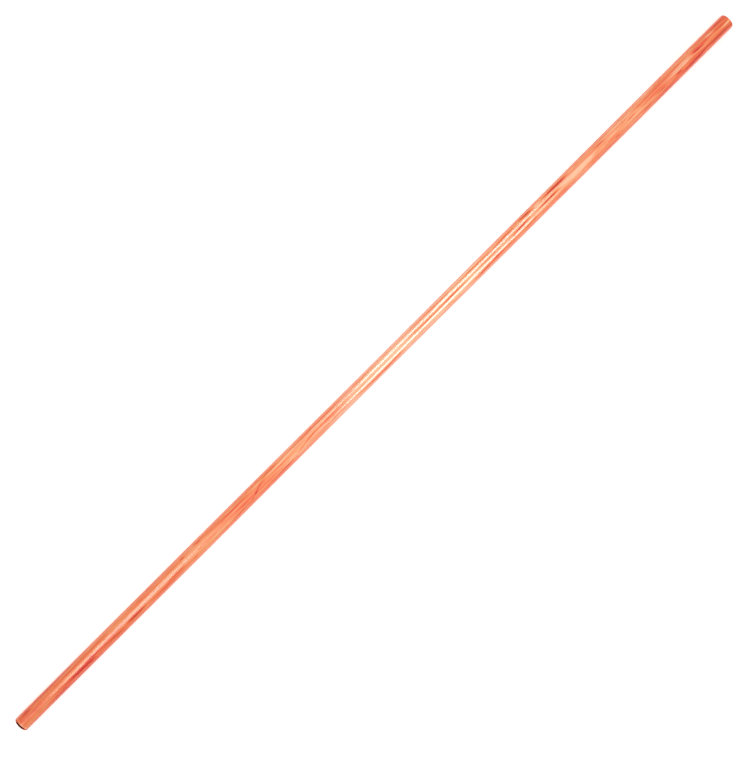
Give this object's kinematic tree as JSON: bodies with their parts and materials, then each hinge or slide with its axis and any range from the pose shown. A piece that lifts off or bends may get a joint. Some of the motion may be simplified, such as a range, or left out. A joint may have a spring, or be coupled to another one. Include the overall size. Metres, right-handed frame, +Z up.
{
  "type": "devil stick",
  "caption": "Slim straight devil stick of turned, red-orange stained hardwood with a gloss lacquer coat, a faint waist, eased ends and a dark seal on one end.",
  "frame": {"origin": "balance point of the stick: mid-length, on its axis", "axes": "+X along the stick, from the dark sealed end towards the lacquered end; +Z up with the stick lying level"},
  "size_m": [0.64, 0.01, 0.01],
  "materials": {
    "stained_wood": "red-orange stained hardwood",
    "gloss_lacquer": "clear gloss lacquer",
    "dark_seal": "dark red-brown gloss seal"
  },
  "bodies": {
    "root": {"wood_shaft": "stained_wood", "lacquer_coat": "gloss_lacquer", "end_seal": "dark_seal"}
  },
  "joints": []
}
